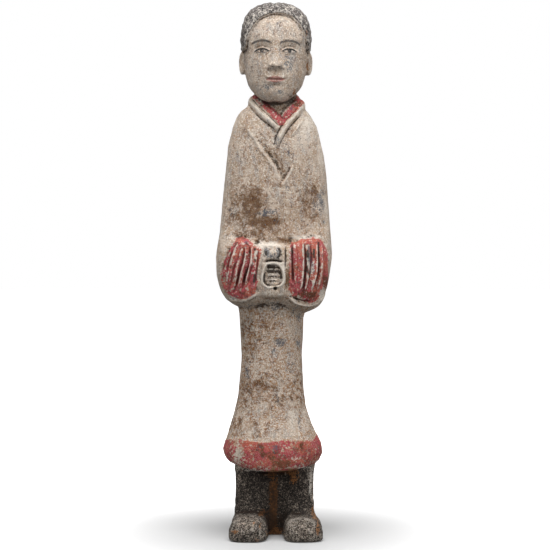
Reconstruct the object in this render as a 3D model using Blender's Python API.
"""A court lady of painted terracotta, moulded in one piece.

She stands upright in a long robe with her hands folded in front, inside wide pleated cuffs.
The robe flares to a banded hem above trousered legs and broad shoes, joined by a web of clay.
Metres, +Z up, the face towards -Y, the origin on the ground under the middle of the figure.

The forms are laid out in units: one unit is a 533rd of the height, about a millimetre. Their
heights are counted from GROUND_LEVEL units under the ground.
"""

import math

import bmesh
import bpy
import numpy as np
from mathutils import Matrix, Vector

# Driving sizes
HEIGHT = 0.533
UNITS_HIGH = 533
UNIT = HEIGHT / UNITS_HIGH
GROUND_LEVEL = 10.0

# Robe: height, middle, half width, front depth, back depth, squareness of the section
SKIRT_STATIONS = (
    (78.0, -1.4, 46.0, 39.0, 37.0, 2.2),
    (81.0, -1.4, 49.2, 41.2, 38.8, 2.2),
    (93.0, -1.2, 50.8, 42.0, 39.5, 2.2),
    (103.0, -0.8, 48.4, 40.4, 38.0, 2.2),
    (120.0, -2.6, 41.4, 34.5, 33.0, 2.2),
    (138.0, -3.0, 36.2, 30.2, 29.4, 2.2),
    (163.0, -2.8, 32.2, 27.4, 26.6, 2.2),
    (192.0, -2.5, 30.6, 26.4, 25.4, 2.2),
    (235.0, -2.6, 33.0, 27.8, 26.2, 2.2),
    (300.0, 0.0, 28.0, 22.0, 18.0, 2.2),
)
UPPER_STATIONS = (
    (237.0, -1.0, 34.0, 19.0, 14.0, 2.2),
    (240.0, -1.2, 42.0, 25.0, 17.0, 2.4),
    (244.0, -1.0, 47.0, 29.0, 19.0, 2.6),
    (252.0, -1.2, 52.0, 32.0, 22.0, 2.8),
    (268.0, -1.0, 56.0, 33.5, 25.5, 2.9),
    (287.0, 0.0, 58.2, 33.5, 28.5, 2.8),
    (318.0, 1.4, 55.8, 31.8, 30.0, 2.4),
    (368.0, 1.6, 51.6, 31.6, 31.5, 2.2),
    (403.0, 1.4, 47.4, 30.6, 31.0, 2.2),
    (421.0, 0.5, 42.6, 28.2, 29.0, 2.2),
    (430.0, 0.0, 38.0, 25.4, 27.0, 2.1),
    (437.0, 0.0, 32.0, 21.0, 24.0, 2.1),
    (447.0, 0.4, 15.0, 12.0, 15.0, 2.0),
)
SKIRT_COLUMNS = 28
UPPER_COLUMNS = 46
UPPER_CROWDING = 0.16
# Heights of the rows of points: above the foot of the form, above the ledge over the cuffs,
# and below the top of the shoulders
SKIRT_HEM_ROWS = (0.0, 1.6, 6.0, 14.0, 21.0, 28.0)
SKIRT_FLARE_ROWS, SKIRT_TRUNK_ROWS = (35.0, 62.0), (82.0, 172.0)
SLEEVE_FOOT_ROWS = (0.0, 2.0, 6.5)
SLEEVE_ROWS = (13.0, 50.0)
LEDGE_ROWS, CHEST_START = (-5.0, 19.0), 30.0
SHOULDER_ROWS = (31.0, 23.0, 16.5, 11.0, 6.0, 0.0)
HEM_SAG = 7.0
HEM_SAG_FADE = (32.0, 4.0)
SLEEVE_HANG_SLOPE = 0.075
SLEEVE_HANG_FADE = (39.0, 9.0)
SLEEVE_ARCH = 7.0
SLEEVE_ARCH_ASIDE, SLEEVE_ARCH_FADE = (6.0, 26.0), (21.0, 7.0)
# How far in from the edge the front turns towards the viewer
FRONT_TURN = 12.0

# The forearms stand out below a ledge, which dips towards the hands
LEDGE_OUT = 9.0
LEDGE_HEIGHT = 299.0
LEDGE_RISE = 8.5
LEDGE_FALL = 3.0
LEDGE_RISE_ASIDE, LEDGE_FALL_ASIDE = (8.0, 34.0), (42.0, 58.0)
LEDGE_SOFTNESS = 3.2
LEDGE_FADE = 16.0
LEDGE_FADE_ASIDE = (34.0, 54.0)

# Hollows between the arms and the body
BODY_MIDDLE = 1.0
ARM_FROM_MIDDLE = 36.0
# The hollow ends this far below the top of the shoulders, is full this far above the ledge, and
# in front begins at the ledge
ARM_VALLEY_END, ARM_VALLEY_FULL = 32.0, 31.0
ARM_VALLEY_START = (-9.0, 13.0)
ARM_VALLEY_FRONT = 3.0
ARM_VALLEY_BACK = 7.0
ARM_VALLEY_WIDTH = 8.5

# Edges of the V on the chest: height, then the right and the left edge
CHEST_V_EDGES = (
    (359.0, 6.4, 8.0),
    (372.5, 2.9, 15.2),
    (386.3, -4.9, 22.5),
    (412.0, -23.5, 34.0),
)
CHEST_V_DEPTH = 2.4
CHEST_V_CLEAR = 0.9
# Shares of the V's height over which the right and the left edge fade out
CHEST_V_RIGHT_FADE, CHEST_V_LEFT_FADE = (1.0, 0.32), (0.62, 0.245)
CUTTER_OUT = 60.0

# Collar: its way round the neck from the nape, then down the front as places of the front view
COLLAR_RIGHT_ROUND = ((4.0, 20.0, 450.5), (-14.5, 15.5, 449.5), (-23.6, 3.0, 447.0))
COLLAR_RIGHT_FRONT = ((-23.0, 443.6), (-17.4, 438.0), (-9.7, 430.3), (-2.0, 423.3), (5.0, 416.4))
COLLAR_LEFT_ROUND = ((-4.0, 20.8, 451.0), (17.5, 15.5, 448.5), (29.2, 3.0, 443.5))
COLLAR_LEFT_FRONT = ((28.0, 439.4), (21.2, 432.8), (14.0, 425.4), (7.9, 412.8), (3.0, 399.2))
COLLAR_RIGHT_PROUD, COLLAR_LEFT_PROUD = (0.8, 0.4), (1.6, -0.6)
LINING_RIGHT_ROUND = ((3.5, 15.5, 454.5), (-12.0, 12.0, 454.0), (-19.4, 3.0, 451.5))
LINING_RIGHT_FRONT = ((-19.8, 446.6), (-15.2, 441.6), (-7.4, 434.8), (1.2, 427.2), (6.8, 421.6))
LINING_LEFT_ROUND = ((-3.5, 16.2, 455.0), (14.5, 12.0, 453.5), (24.0, 3.0, 449.5))
LINING_LEFT_FRONT = ((24.6, 444.0), (20.2, 438.8), (14.6, 432.6), (10.2, 427.0))
LINING_PROUD = (0.6, 0.4)
COLLAR_WIDTH = 9.0
LINING_WIDTH = 8.6
BAND_THICKNESS = 4.8
BAND_STATIONS = 12
# Section of a band, as shares of its half width and half thickness
BAND_SECTION = ((-1.0, -0.4), (-0.85, 0.7), (0.0, 1.0), (0.85, 0.7), (1.0, -0.4), (0.4, -3.4), (-0.4, -3.4))

# Cuffs: height as a share from bottom to top, inner and outer edge
CUFF_RIGHT = (
    (0.0, -17.5, -42.0),
    (0.2, -16.6, -50.6),
    (0.55, -14.8, -48.6),
    (0.85, -13.9, -43.6),
    (1.0, -14.5, -39.0),
)
CUFF_LEFT = (
    (0.0, 19.0, 45.0),
    (0.2, 15.6, 51.6),
    (0.55, 15.2, 52.8),
    (0.85, 15.6, 50.4),
    (1.0, 17.0, 46.0),
)
RIGHT_GROOVES = (0.0, 0.19, 0.38, 0.56, 0.72, 0.88, 1.0)
LEFT_GROOVES = (0.0, 0.09, 0.38, 0.56, 0.76, 0.93, 1.0)
CUFF_BOTTOM_INNER, CUFF_BOTTOM_OUTER = 250.0, 243.5
CUFF_LIFT = 3.2
PLEAT_DEPTH = 2.6
PLEAT_STEPS = 4
CUFF_RINGS = 8
CUFF_BACK = 2.0
CUFF_OVER_LEDGE = 0.5
CUFF_BOTTOM_TURN = 0.6

# Hands and the sleeve between the cuffs
MIDDLE = (-0.6, 276.0)
MIDDLE_HALF_WIDTH, MIDDLE_HALF_HEIGHT = 14.6, 26.5
MIDDLE_HALF_DEPTH = 10.0
MIDDLE_OUT = 2.4
WINDOW = (-1.0, 270.5)
WINDOW_HALF_WIDTH, WINDOW_HALF_HEIGHT, WINDOW_DEPTH = 9.4, 13.0, 3.6
WINDOW_HALF_DEPTH = 8.0
WRIST = (-0.8, 291.5)
WRIST_HALF_WIDTH, WRIST_HALF_DEPTH, WRIST_HALF_HEIGHT = 8.8, 6.0, 6.2
WRIST_OUT = 1.6
FINGERS = 4
FINGER_PITCH = 5.4
FINGER_HALF_WIDTH, FINGER_HALF_DEPTH = 8.6, 3.6
FINGER_OVERLAP = 1.12

# Head: its height above the chin as a share, half width, front and back of the section
# from the neck's axis, squareness
CHIN_HEIGHT, CROWN_HEIGHT = 443.0, 541.0
HEAD_HEIGHT = CROWN_HEIGHT - CHIN_HEIGHT
HEAD_STATIONS = (
    (0.0, 7.0, 31.5, -17.0, 2.0),
    (0.03, 13.5, 34.2, -6.0, 2.0),
    (0.09, 20.5, 35.8, 8.0, 2.0),
    (0.205, 27.6, 36.8, 24.0, 2.1),
    (0.38, 31.2, 37.4, 36.0, 2.15),
    (0.53, 32.0, 37.8, 41.0, 2.2),
    (0.665, 34.0, 37.6, 42.5, 2.2),
    (0.775, 32.4, 35.4, 40.0, 2.15),
    (0.88, 28.0, 30.0, 34.0, 2.1),
    (0.95, 21.0, 22.5, 25.5, 2.0),
    (0.99, 11.0, 12.5, 13.5, 2.0),
)
CHIN_ROWS, CROWN_ROWS = (0.0, 0.022, 0.061), (0.715, 0.806, 0.898, 0.99)
FACE_ROWS = (0.102, 0.633, 19)
HEAD_COLUMNS = 36
HEAD_CROWDING = 0.5
HEAD_LEAN_DEG = 0.8
HEAD_MIDDLE = 1.0
NECK_RADIUS, NECK_MIDDLE, NECK_BACK = 14.0, -0.2, 2.0
NECK_FROM = 425.0
NECK_INTO_HEAD = 0.235
# Height, half width, front and back of the clay under the collar
NECK_ROOT_MIDDLE = 2.0
NECK_ROOT_STATIONS = ((430.0, 24.0, 12.0, 20.0), (445.0, 23.0, 9.0, 18.5), (449.5, 18.5, 6.0, 15.5))

# The face, on the usual proportions of a head: eyes halfway up, five eye widths across
EYE_SHARE, BROW_SHARE, NOSE_BASE_SHARE, MOUTH_SHARE = 0.5, 0.585, 0.325, 0.215
EYE_FROM_MIDDLE = 13.6
NOSE_HALF_WIDTH = 6.0
NOSE_OUT = 8.0
BRIDGE_HALF_WIDTH, BRIDGE_OUT = 3.4, 1.2
NOSE_SLOPE, NOSE_UNDER = 1.35, 2.4
MOUTH_HALF_WIDTH = 10.5
LIPS_OUT = 1.8
# Height above the mouth and half height of each lip
LIPS = ((2.4, 2.0), (-2.8, 2.4))
# Broad forms: distance from the middle, height share, half width, half height, out
FACE_FORMS = (
    (EYE_FROM_MIDDLE - 1.0, EYE_SHARE + 0.015, 7.5, 5.6, -3.2),
    (EYE_FROM_MIDDLE, EYE_SHARE, 5.6, 3.4, 2.4),
    (EYE_FROM_MIDDLE - 2.6, BROW_SHARE + 0.02, 11.0, 5.0, 1.0),
    (4.6, 0.351, 2.4, 2.8, 2.2),
    (0.0, 0.225, 12.0, 9.0, 1.6),
    (0.0, 0.082, 9.0, 6.0, 2.0),
    (18.0, 0.356, 9.0, 11.0, 1.4),
)
FACE_TURN = 16.0

# Hair: a cap with an arch over the brow, and a knot at the nape. Heights are shares of the head's.
# Its edge runs down behind the middle of the ear
HAIR_THICKNESS = 2.2
HAIR_ROWS, HAIR_CROWN_ROWS = (0.09, 0.765, 7), (0.85, 0.918, 0.964, 0.99)
HAIR_RISE_FROM = 0.58
HAIRLINE_MIDDLE = 1.3
HAIRLINE_HALF_WIDTH = 32.0
HAIRLINE_SPRING, HAIRLINE_TOP = 0.45, 0.895
HAIRLINE_POWER = 2.2
HAIRLINE_BACK = -4.0
SIDE_LOCK_END = 0.54
# The lower edge of the hair behind the ear, and how steeply it runs down to the nape
NAPE_EDGE, NAPE_SLOPE_DEG = 0.37, 24.0
HAIR_COLUMNS = 26
HAIR_BEHIND = 4.0
KNOT_MIDDLE, KNOT_BACK, KNOT_HEIGHT = 0.6, 31.0, 0.235
KNOT_HALF_SIZES = (17.0, 13.0, 14.0)
EAR_HALF_SIZES = (3.4, 8.2, 12.4)
EAR_FROM_MIDDLE, EAR_DEPTH, EAR_HEIGHT = 32.6, 3.5, 0.423
EAR_TURN_DEG = 24.0
EAR_LOBE_NARROWS = 0.25

# Legs and shoes
RIGHT_LEG_MIDDLE, LEFT_LEG_MIDDLE, LEG_HALF_WIDTH = -23.4, 25.1, 15.7
LEG_FRONT, LEG_BACK = 17.0, 25.0
LEG_FROM, LEG_TO = 14.0, 96.0
ANKLE_FROM, ANKLE_TO = 30.0, 42.0
ANKLE_SPREAD = 0.04
WEB_FRONT, WEB_BACK, WEB_HALF_WIDTH = -8.0, 22.0, 15.0
WEB_UNDER_LEG_TOP = 4.0
WEB_MIDDLE = 1.0
SHOE_HEEL, SHOE_TOE = 27.0, -50.0
SHOE_TURN_DEG = 3.0
RIGHT_SHOE_MIDDLE, LEFT_SHOE_MIDDLE = -24.0, 27.6
SOLE_SINK = 3.0
SOLE_HALF_SHARE = 0.94
GROUND_DEPTH = 12.0
SHOE_ROWS = (0.0, 0.04, 0.15, 0.4, 0.55, 0.7, 0.83, 0.92, 0.975, 1.0)
# Share of the length from the heel, half width, height
SHOE_STATIONS = (
    (0.0, 7.0, 8.0),
    (0.04, 13.5, 15.0),
    (0.14, 16.5, 21.0),
    (0.4, 18.0, 25.5),
    (0.66, 19.4, 24.5),
    (0.86, 19.0, 22.0),
    (0.955, 15.4, 18.0),
    (1.0, 8.5, 11.0),
)

# Paint and clay: colour and roughness
SLIP = ((0.62, 0.54, 0.46), 0.9)
RED = ((0.46, 0.12, 0.10), 0.85)
BLACK = ((0.06, 0.055, 0.05), 0.85)


def clear_scene():
    for old in list(bpy.data.objects):
        bpy.data.objects.remove(old)


def paint(name, look):
    colour, roughness = look
    material = bpy.data.materials.new(name)
    material.use_nodes = True
    shader = material.node_tree.nodes["Principled BSDF"]
    shader.inputs["Base Color"].default_value = (*colour, 1.0)
    shader.inputs["Roughness"].default_value = roughness
    shader.inputs["Metallic"].default_value = 0.0
    return material


def through(stations, at):
    """Smooth values between stations, which never overshoot them. The first column is the place."""
    table = np.asarray(stations, float)
    place, values = table[:, 0], table[:, 1:]
    gap = np.diff(place)[:, None]
    slope = np.diff(values, axis=0) / gap
    tangent = np.zeros_like(values)
    tangent[0], tangent[-1] = slope[0], slope[-1]
    before, after = slope[:-1], slope[1:]
    same_way = before * after > 0
    total = np.where(same_way, before + after, 1.0)
    tangent[1:-1] = np.where(same_way, 2 * before * after / total, 0.0)
    at = np.clip(np.asarray(at, float), place[0], place[-1])
    flat = at.ravel()
    low = np.clip(np.searchsorted(place, flat, side="right") - 1, 0, len(place) - 2)
    step = gap[low]
    t = ((flat - place[low]) / gap[low, 0])[:, None]
    found = (
        (1 + 2 * t) * (1 - t) ** 2 * values[low]
        + t * (1 - t) ** 2 * step * tangent[low]
        + t * t * (3 - 2 * t) * values[low + 1]
        + t * t * (t - 1) * step * tangent[low + 1]
    )
    return found.reshape(*at.shape, values.shape[1])


def ramp(low, high, value):
    """Rises smoothly from 0 at low to 1 at high, and falls if high is the lower one."""
    t = np.clip((value - low) / (high - low), 0.0, 1.0)
    return t * t * (3 - 2 * t)


def swell(value, width):
    return np.exp(-((value / width) ** 2))


def signed_power(value, power):
    return np.sign(value) * np.abs(value) ** power


def angles_round(columns, crowding=0.0):
    """Angles round a body, closer together towards the front, at -90 degrees."""
    even = np.arange(columns) * 2 * math.pi / columns
    return even - math.pi / 2 - crowding * np.sin(even)


def section(angles, middle, half_width, front, back, power):
    """A ring of points round a rounded section, whose front and back differ in depth."""
    across, deep = np.cos(angles), np.sin(angles)
    x = middle + half_width * signed_power(across, 2 / power)
    y = np.where(deep < 0, front, back) * signed_power(deep, 2 / power)
    return x, y


def ring(x, y, z):
    return np.stack([x, np.broadcast_to(y, x.shape), np.broadcast_to(z, x.shape)], axis=-1)


def hidden_object(name, mesh, material):
    mesh.materials.append(material)
    made = bpy.data.objects.new(name, mesh)
    bpy.context.scene.collection.objects.link(made)
    made.hide_render = True
    made.display_type = "WIRE"
    return made


def loft(name, rings, material):
    """A closed body through rings of points in units, its ends closed to the middle of the end rings."""
    form = bmesh.new()
    rows = [[form.verts.new(point) for point in row] for row in np.asarray(rings, float) * UNIT]
    count = len(rows[0])
    for lower, upper in zip(rows, rows[1:]):
        for k in range(count):
            after = (k + 1) % count
            form.faces.new((lower[k], lower[after], upper[after], upper[k]))
    for row in (rows[0], rows[-1]):
        middle = form.verts.new(sum((v.co for v in row), Vector()) / count)
        for k in range(count):
            form.faces.new((row[k], row[(k + 1) % count], middle))
    bmesh.ops.recalc_face_normals(form, faces=form.faces)
    mesh = bpy.data.meshes.new(name)
    form.to_mesh(mesh)
    form.free()
    mesh.shade_smooth()
    return hidden_object(name, mesh, material)


def rounded_block(name, middle, half_sizes, power, material, segments=16, rings=8):
    """A ball drawn out towards a box by its power, in units."""
    around = angles_round(segments)
    rows = []
    for latitude in np.linspace(-math.pi / 2, math.pi / 2, rings + 2)[1:-1]:
        level = np.cos(latitude) ** (2 / power)
        x = signed_power(np.cos(around), 2 / power) * level
        y = signed_power(np.sin(around), 2 / power) * level
        z = signed_power(np.sin(latitude), 2 / power)
        rows.append(ring(x, y, z) * half_sizes + middle)
    return loft(name, rows, material)


def box(name, low, high, material, placing=np.asarray):
    """A plain box between two corners, in units."""
    (x0, y0, z0), (x1, y1, z1) = low, high
    corners = ((x0, y0), (x1, y0), (x1, y1), (x0, y1))
    rows = np.array([[(x, y, z) for x, y in corners] for z in (z0, z1)], float)
    return loft(name, placing(rows), material)


def turned(rows, axis, degrees):
    """Points turned about an axis through the origin."""
    turn = np.array(Matrix.Rotation(math.radians(degrees), 3, axis))
    return np.asarray(rows, float) @ turn.T


def combine(body, operation, other, solver="EXACT"):
    """Cuts a closed form from a body, or joins it on. The manifold solver is for many close crossings."""
    step = body.modifiers.new(f"{operation.lower()} {other.name}", "BOOLEAN")
    step.operation, step.object, step.solver = operation, other, solver


def ledge_height(x):
    aside = np.abs(x)
    rise = LEDGE_RISE * ramp(*LEDGE_RISE_ASIDE, aside) - LEDGE_FALL * ramp(*LEDGE_FALL_ASIDE, aside)
    return LEDGE_HEIGHT + rise


def forearms(x, z):
    """How far the forearms and the sleeves below them stand out in front."""
    top = ledge_height(x)
    soft = LEDGE_SOFTNESS + LEDGE_FADE * ramp(*LEDGE_FADE_ASIDE, np.abs(x))
    return LEDGE_OUT * ramp(top + soft, top - soft, z)


def arm_valleys(x, z, depth):
    """The hollow between an arm and the body, deepest near the elbow."""
    across = swell(np.abs(x - BODY_MIDDLE) - ARM_FROM_MIDDLE, ARM_VALLEY_WIDTH)
    end = UPPER_STATIONS[-1][0] - ARM_VALLEY_END
    return depth * across * ramp(end, LEDGE_HEIGHT + ARM_VALLEY_FULL, z)


def front_valleys(x, z):
    return arm_valleys(x, z, ARM_VALLEY_FRONT) * ramp(*ARM_VALLEY_START, z - LEDGE_HEIGHT)


def sleeve_sag(x, z):
    """The hanging sleeves are lower on the left, and arch up between the cuffs."""
    above = z - UPPER_STATIONS[0][0]
    arch = SLEEVE_ARCH * (1 - ramp(*SLEEVE_ARCH_ASIDE, np.abs(x))) * ramp(*SLEEVE_ARCH_FADE, above)
    return arch - SLEEVE_HANG_SLOPE * x * ramp(*SLEEVE_HANG_FADE, above)


def upper_front(x, z):
    """How far the front of the upper body stands before the axis, at a place of the front view."""
    row = through(UPPER_STATIONS, z)
    middle, half_width, front, power = row[..., 0], row[..., 1], row[..., 2], row[..., 4]
    share = np.clip(np.abs(x - middle) / half_width, 0.0, 0.999)
    plain = front * (1 - share**power) ** (1 / power)
    return plain + forearms(x, z) * ramp(0.0, FRONT_TURN, plain) - front_valleys(x, z)


def upper_body(material):
    """Shoulders, chest, arms and the hanging mass of the sleeves."""
    angles = angles_round(UPPER_COLUMNS, UPPER_CROWDING)
    foot, top = UPPER_STATIONS[0][0], UPPER_STATIONS[-1][0]
    sleeves = foot + np.concatenate([SLEEVE_FOOT_ROWS, np.linspace(*SLEEVE_ROWS, 4)])
    ledge = LEDGE_HEIGHT + np.linspace(*LEDGE_ROWS, 6)
    shoulders = top - np.array(SHOULDER_ROWS)
    chest = np.linspace(LEDGE_HEIGHT + CHEST_START, shoulders[0], 7)[:-1]
    heights = np.sort(np.concatenate([sleeves, ledge, chest, shoulders]))
    rows = []
    for z, station in zip(heights, through(UPPER_STATIONS, heights)):
        x, y = section(angles, *station)
        fore = (forearms(x, z) - front_valleys(x, z)) * ramp(0.0, FRONT_TURN, -y)
        rear = arm_valleys(x, z, ARM_VALLEY_BACK) * ramp(0.0, FRONT_TURN, y)
        rows.append(ring(x, y - fore - rear, z + sleeve_sag(x, z)))
    return loft("upper_body", rows, material)


def skirt(material):
    """The skirt of the robe, narrow at the waist and flaring to the hem."""
    angles = angles_round(SKIRT_COLUMNS)
    foot, top = SKIRT_STATIONS[0][0], SKIRT_STATIONS[-1][0]
    trunk = [np.linspace(*SKIRT_FLARE_ROWS, 4), np.linspace(*SKIRT_TRUNK_ROWS, 4)]
    heights = np.concatenate([foot + np.concatenate([SKIRT_HEM_ROWS, *trunk]), [top]])
    rows = []
    for z, station in zip(heights, through(SKIRT_STATIONS, heights)):
        x, y = section(angles, *station)
        rise = HEM_SAG * (x / station[1]) ** 2 * ramp(*HEM_SAG_FADE, z - foot)
        rows.append(ring(x, y, z + rise))
    return loft("skirt", rows, material)


def chest_v_cutter(material):
    """Lowers the cloth inside the wide V on the chest, from sharp edges that run down to a point."""
    low, high = CHEST_V_EDGES[0][0], CHEST_V_EDGES[-1][0]
    rows = []
    for z in np.linspace(low, high, 12):
        right, left = through(CHEST_V_EDGES, z)
        share = np.linspace(0.0, 1.0, 7)
        x = right + (left - right) * share
        kept_right = ramp(*CHEST_V_RIGHT_FADE, (z - low) / (high - low))
        kept_left = ramp(*CHEST_V_LEFT_FADE, (z - low) / (high - low))
        kept = kept_right + (kept_left - kept_right) * share
        depth = (CHEST_V_DEPTH + CHEST_V_CLEAR) * kept - CHEST_V_CLEAR
        inner = ring(x, depth - upper_front(x, np.full_like(x, z)), z)
        outer = ring(x[::-1], np.full_like(x, -CUTTER_OUT), z)
        rows.append(np.concatenate([inner, outer]))
    return loft("chest_v_cutter", rows, material)


def band(name, round_neck, down_front, proud, width, material):
    """A band of cloth swept round the neck and down the chest, its flat side out."""
    x, z = np.array(down_front).T
    stand_off = np.linspace(*proud, len(x))
    points = np.concatenate([round_neck, np.column_stack([x, -upper_front(x, z) - stand_off, z])])
    places = np.concatenate([[0.0], np.cumsum(np.linalg.norm(np.diff(points, axis=0), axis=1))])
    line = through(np.column_stack([places, points]), np.linspace(0.0, places[-1], BAND_STATIONS))
    shape = np.array(BAND_SECTION) * (width / 2, BAND_THICKNESS / 2)
    rows = []
    for centre, way in zip(line, np.gradient(line, axis=0)):
        ahead = Vector(way).normalized()
        out = Vector((centre[0], centre[1], NECK_RADIUS))
        out = (out - ahead * out.dot(ahead)).normalized()
        wide = ahead.cross(out)
        rows.append([Vector(centre) + wide * float(a) + out * float(b) for a, b in shape])
    return loft(name, rows, material)


def cuff(name, edges, grooves, material):
    """A hanging cuff whose front is gathered into pleats that run from its rim to its foot."""
    within = (1 - np.cos(np.linspace(0.0, math.pi, PLEAT_STEPS + 1)[:-1])) / 2
    share = np.concatenate([low + (high - low) * within for low, high in zip(grooves, grooves[1:])] + [[1.0]])
    pleat = np.concatenate([*[np.sin(math.pi * within) ** 0.7] * (len(grooves) - 1), [0.0]])
    bulge = np.sin(math.pi * np.clip(share, 0.03, 0.97)) ** 0.4
    rise = (1 - np.cos(np.linspace(0.0, math.pi, CUFF_RINGS))) / 2
    rows = []
    for v, (inner, outer) in zip(rise, through(edges, rise)):
        x = inner + (outer - inner) * share
        turn = ramp(0.0, CUFF_BOTTOM_TURN, share)
        bottom = CUFF_BOTTOM_INNER + (CUFF_BOTTOM_OUTER - CUFF_BOTTOM_INNER) * turn - SLEEVE_HANG_SLOPE * x
        top = ledge_height(x) + CUFF_OVER_LEDGE
        z = bottom + (top - bottom) * v
        edge = np.sin(math.pi * np.clip(v, 0.02, 0.98)) ** 0.35
        lift = CUFF_LIFT * bulge * edge - PLEAT_DEPTH * (1 - pleat) * edge
        front = ring(x, -(upper_front(x, z) + lift), z)
        back_at = slice(None, None, -PLEAT_STEPS)
        back = ring(x[back_at], CUFF_BACK, z[back_at])
        rows.append(np.concatenate([front, back]))
    return loft(name, rows, material)


def middle_surface(x, z):
    return -float(upper_front(np.array(x), np.array(z)))


def hands(material):
    """The sleeve between the cuffs, its opening with the fingers of one hand, and the wrist above."""
    x, z = MIDDLE
    front = middle_surface(x, z) - MIDDLE_OUT
    half = np.array([MIDDLE_HALF_WIDTH, MIDDLE_HALF_DEPTH, MIDDLE_HALF_HEIGHT])
    middle = rounded_block("sleeve_middle", (x, front + half[1], z), half, 4.0, material, 16, 8)
    wx, wz = WINDOW
    half = np.array([WINDOW_HALF_WIDTH, WINDOW_HALF_DEPTH, WINDOW_HALF_HEIGHT])
    place = (wx, front - half[1] + WINDOW_DEPTH, wz)
    window = rounded_block("window_cutter", place, half, 3.6, material, 16, 6)
    combine(middle, "DIFFERENCE", window)
    fingers = []
    for k in range(FINGERS):
        place = (wx, front + WINDOW_DEPTH, wz + (k - (FINGERS - 1) / 2) * FINGER_PITCH)
        half = (FINGER_HALF_WIDTH, FINGER_HALF_DEPTH, FINGER_PITCH / 2 * FINGER_OVERLAP)
        fingers.append(rounded_block(f"finger_{k + 1}", place, half, 2.5, material, 10, 5))
    rx, rz = WRIST
    half = (WRIST_HALF_WIDTH, WRIST_HALF_DEPTH, WRIST_HALF_HEIGHT)
    wrist = rounded_block("wrist", (rx, front + half[1] - WRIST_OUT, rz), half, 3.0, material, 12, 4)
    return [middle, *fingers, wrist], [window]


def head_level(share):
    """A height in the head, from a share of the way from the chin to the crown."""
    return CHIN_HEIGHT + HEAD_HEIGHT * np.asarray(share)


def face_relief(x, z):
    """How far the face stands out from the plain egg of the head."""
    aside = np.abs(x)
    brow, nose_base, mouth = head_level((BROW_SHARE, NOSE_BASE_SHARE, MOUTH_SHARE))
    bridge, tip = brow - BRIDGE_HALF_WIDTH, nose_base + NOSE_UNDER
    down = np.clip((bridge - z) / (bridge - tip), 0.0, 1.0)
    out = BRIDGE_OUT + (NOSE_OUT - BRIDGE_OUT) * down**NOSE_SLOPE
    half = BRIDGE_HALF_WIDTH + (NOSE_HALF_WIDTH - BRIDGE_HALF_WIDTH) * down**2
    under = ramp(nose_base - NOSE_UNDER, nose_base + NOSE_UNDER, z)
    relief = out * swell(x, half) * under * ramp(brow + BRIDGE_HALF_WIDTH, bridge - NOSE_UNDER, z)
    across = ramp(1.1, 0.3, aside / MOUTH_HALF_WIDTH)
    for above, half_height in LIPS:
        relief = relief + LIPS_OUT * across * swell(z - mouth - above, half_height)
    for middle, share, half_width, half_height, out in FACE_FORMS:
        relief = relief + out * swell(aside - middle, half_width) * swell(z - head_level(share), half_height)
    return relief


def head_rings(shares, columns, crowding, thickness=0.0):
    """Rings of the head's egg, thickened by some units."""
    angles = angles_round(columns, crowding)
    rows = []
    for z, (half_width, front, back, power) in zip(head_level(shares), through(HEAD_STATIONS, shares)):
        half_depth = (front + back) / 2 + thickness
        x, y = section(angles, 0.0, half_width + thickness, half_depth, half_depth, power)
        rows.append(ring(x, y + (back - front) / 2, z))
    return np.array(rows)


def placed_head(rows):
    """The head leans a little to her left over the neck."""
    chin = np.array([0.0, 0.0, CHIN_HEIGHT])
    return turned(rows - chin, "Y", HEAD_LEAN_DEG) + chin + np.array([HEAD_MIDDLE, 0.0, 0.0])


def head(material):
    """The egg of the head with its face."""
    shares = np.concatenate([CHIN_ROWS, np.linspace(*FACE_ROWS), CROWN_ROWS])
    rows = head_rings(shares, HEAD_COLUMNS, HEAD_CROWDING)
    x, y, z = rows[..., 0], rows[..., 1], rows[..., 2]
    rows[..., 1] = y - face_relief(x, z) * ramp(0.0, -FACE_TURN, y)
    return loft("head", placed_head(rows), material)


def hairline_cutter(material):
    """The arch over the brow, which is cut from the front of the cap of hair."""
    arch = np.linspace(0.0, math.pi, 21)
    spring, top = head_level((HAIRLINE_SPRING, HAIRLINE_TOP))
    x = HAIRLINE_HALF_WIDTH * signed_power(np.cos(arch), 2 / HAIRLINE_POWER)
    z = spring + (top - spring) * np.sin(arch) ** (2 / HAIRLINE_POWER)
    x = HAIRLINE_MIDDLE + np.concatenate([[HAIRLINE_HALF_WIDTH], x, [-HAIRLINE_HALF_WIDTH]])
    z = np.concatenate([[NECK_FROM], z, [NECK_FROM]])
    rows = np.array([ring(x, np.full_like(x, y), z) for y in (-CUTTER_OUT, HAIRLINE_BACK)])
    return loft("hairline_cutter", placed_head(rows), material)


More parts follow.
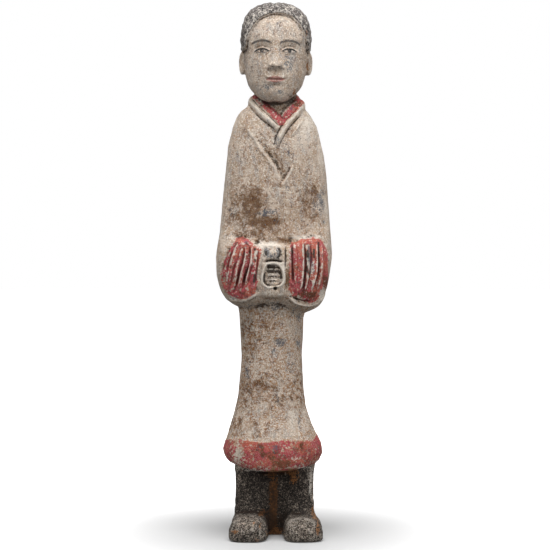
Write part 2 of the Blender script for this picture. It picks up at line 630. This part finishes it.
def hair(material):
    """A close cap of hair, drawn back over the ears and down to a low knot at the nape."""
    shares = np.concatenate([np.linspace(*HAIR_ROWS), HAIR_CROWN_ROWS])
    rows = head_rings(shares, HAIR_COLUMNS, HEAD_CROWDING / 3, HAIR_THICKNESS)
    highest = head_level(HAIR_CROWN_ROWS[-1])
    rise = CROWN_HEIGHT + HAIR_THICKNESS - highest
    rows[..., 2] = rows[..., 2] + rise * ramp(head_level(HAIR_RISE_FROM), highest, rows[..., 2])
    cap = loft("hair_cap", placed_head(rows), material)
    lock_end, nape_edge, knot_height = head_level((SIDE_LOCK_END, NAPE_EDGE, KNOT_HEIGHT))
    front_low, front_high = (-CUTTER_OUT, -CUTTER_OUT, NECK_FROM), (CUTTER_OUT, HAIR_BEHIND, lock_end)
    front_cut = box("side_lock_cutter", front_low, front_high, material, placed_head)

    def sloping(corners):
        edge = np.array([0.0, HAIR_BEHIND, nape_edge])
        return placed_head(turned(corners - edge, "X", -NAPE_SLOPE_DEG) + edge)

    nape_low = (-CUTTER_OUT, -CUTTER_OUT, nape_edge - CUTTER_OUT)
    nape_cut = box("nape_cutter", nape_low, (CUTTER_OUT, 2 * CUTTER_OUT, nape_edge), material, sloping)
    cutters = [hairline_cutter(material), front_cut, nape_cut]
    for cutter in cutters:
        combine(cap, "DIFFERENCE", cutter, "MANIFOLD")
    knot_place = (KNOT_MIDDLE, KNOT_BACK, knot_height)
    knot = rounded_block("hair_knot", knot_place, KNOT_HALF_SIZES, 2.1, material, 14, 6)
    return [cap, knot], cutters


def ear(side, material):
    """One ear, a shallow shell that stands off at the back."""
    around = angles_round(10)
    rows = []
    for latitude in np.linspace(-math.pi / 2, math.pi / 2, 10)[1:-1]:
        lobe = 1.0 - EAR_LOBE_NARROWS * ramp(0.2, 1.0, -np.sin(latitude))
        x, y = np.cos(around) * np.cos(latitude), np.sin(around) * np.cos(latitude) * lobe
        rows.append(ring(x, y, np.sin(latitude)) * EAR_HALF_SIZES)
    place = np.array([side * EAR_FROM_MIDDLE, EAR_DEPTH, head_level(EAR_HEIGHT)])
    rows = turned(np.array(rows), "Z", -EAR_TURN_DEG * side) + place
    return loft(f"ear_{'left' if side > 0 else 'right'}", placed_head(rows), material)


def neck(material):
    """The round neck, from under the collar into the head."""
    angles = angles_round(22)
    rows = []
    for z in (NECK_FROM, head_level(NECK_INTO_HEAD)):
        x, y = section(angles, NECK_MIDDLE, NECK_RADIUS, NECK_RADIUS, NECK_RADIUS, 2.0)
        rows.append(ring(x, y + NECK_BACK, z))
    return loft("neck", rows, material)


def neck_root(material):
    """The clay under the collar, from the shoulders to the neck."""
    angles = angles_round(16)
    rows = []
    for z, half_width, front, back in NECK_ROOT_STATIONS:
        rows.append(ring(*section(angles, NECK_ROOT_MIDDLE, half_width, front, back, 2.0), z))
    return loft("neck_root", rows, material)


def leg(name, middle, material):
    """A straight trouser leg, a little wider over the shoe."""
    angles = angles_round(16)
    rows = []
    for z in (LEG_FROM, ANKLE_FROM, ANKLE_TO, LEG_TO):
        spread = 1.0 + ANKLE_SPREAD * ramp(ANKLE_TO, ANKLE_FROM, z)
        x, y = section(angles, middle, LEG_HALF_WIDTH * spread, LEG_FRONT * spread, LEG_BACK, 2.3)
        rows.append(ring(x, y, z))
    return loft(name, rows, material)


def web(material):
    """The clay left between the legs, down to the ground."""
    angles = angles_round(14)
    half_depth = (WEB_BACK - WEB_FRONT) / 2
    rows = []
    for z in (GROUND_LEVEL - SOLE_SINK, LEG_TO - WEB_UNDER_LEG_TOP):
        x, y = section(angles, WEB_MIDDLE, WEB_HALF_WIDTH, half_depth, half_depth, 3.5)
        rows.append(ring(x, y + (WEB_BACK + WEB_FRONT) / 2, z))
    return loft("leg_web", rows, material)


def shoe(name, middle, side, material):
    """A broad shoe with a full rounded toe, turned a little outwards."""
    over = np.linspace(0.0, math.pi, 10)
    rows = []
    for share, (half_width, height) in zip(SHOE_ROWS, through(SHOE_STATIONS, SHOE_ROWS)):
        x = half_width * signed_power(np.cos(over), 0.6)
        z = height * np.sin(over) ** 0.6
        sole = half_width * np.array([-SOLE_HALF_SHARE, 0.0, SOLE_HALF_SHARE])
        x, z = np.concatenate([x, sole]), np.concatenate([z, np.full(3, -SOLE_SINK)])
        rows.append(ring(x, np.full_like(x, SHOE_HEEL + (SHOE_TOE - SHOE_HEEL) * share), z))
    rows = turned(np.array(rows), "Z", SHOE_TURN_DEG * side)
    return loft(name, rows + np.array([middle, 0.0, GROUND_LEVEL]), material)


def figure():
    """Everything that was pressed and modelled into the one body of clay."""
    slip, red, black = paint("white_slip", SLIP), paint("red_paint", RED), paint("black_paint", BLACK)
    body = upper_body(slip)
    body.name = "court_lady"
    body.hide_render = False
    body.display_type = "TEXTURED"
    chest_cut = chest_v_cutter(slip)
    combine(body, "DIFFERENCE", chest_cut)
    hair_forms, hair_cutters = hair(black)
    hand_forms, hand_cutters = hands(slip)
    joined = [
        skirt(slip),
        neck(slip),
        neck_root(slip),
        band("lining_right", LINING_RIGHT_ROUND, LINING_RIGHT_FRONT, LINING_PROUD, LINING_WIDTH, red),
        band("lining_left", LINING_LEFT_ROUND, LINING_LEFT_FRONT, LINING_PROUD, LINING_WIDTH, red),
        band("collar_right", COLLAR_RIGHT_ROUND, COLLAR_RIGHT_FRONT, COLLAR_RIGHT_PROUD, COLLAR_WIDTH, slip),
        band("collar_left", COLLAR_LEFT_ROUND, COLLAR_LEFT_FRONT, COLLAR_LEFT_PROUD, COLLAR_WIDTH, slip),
        cuff("cuff_right", CUFF_RIGHT, RIGHT_GROOVES, red),
        cuff("cuff_left", CUFF_LEFT, LEFT_GROOVES, red),
        *hand_forms,
        head(slip),
        ear(-1, slip),
        ear(1, slip),
        *hair_forms,
        leg("leg_right", RIGHT_LEG_MIDDLE, black),
        leg("leg_left", LEFT_LEG_MIDDLE, black),
        web(black),
        shoe("shoe_right", RIGHT_SHOE_MIDDLE, -1, black),
        shoe("shoe_left", LEFT_SHOE_MIDDLE, 1, black),
    ]
    for form in joined:
        combine(body, "UNION", form, "MANIFOLD")
    around = 2 * CUTTER_OUT
    lowest = (-around, -around, GROUND_LEVEL - GROUND_DEPTH)
    ground = box("ground_cutter", lowest, (around, around, GROUND_LEVEL), slip)
    combine(body, "DIFFERENCE", ground, "MANIFOLD")
    return body, [*joined, *hair_cutters, *hand_cutters, chest_cut, ground]


def centre_over_origin(body, helpers):
    """Moves the figure and its helpers so that the origin lies under the middle of its outline."""
    bpy.context.view_layer.update()
    evaluated = body.evaluated_get(bpy.context.evaluated_depsgraph_get())
    corners = np.array([tuple(corner) for corner in evaluated.bound_box])
    middle = (corners.min(axis=0) + corners.max(axis=0)) / 2
    stand = bpy.data.objects.new("figure_place", None)
    bpy.context.scene.collection.objects.link(stand)
    for form in [body, *helpers]:
        form.parent = stand
    stand.location = (-middle[0], -middle[1], -GROUND_LEVEL * UNIT)


def main():
    clear_scene()
    centre_over_origin(*figure())


main()
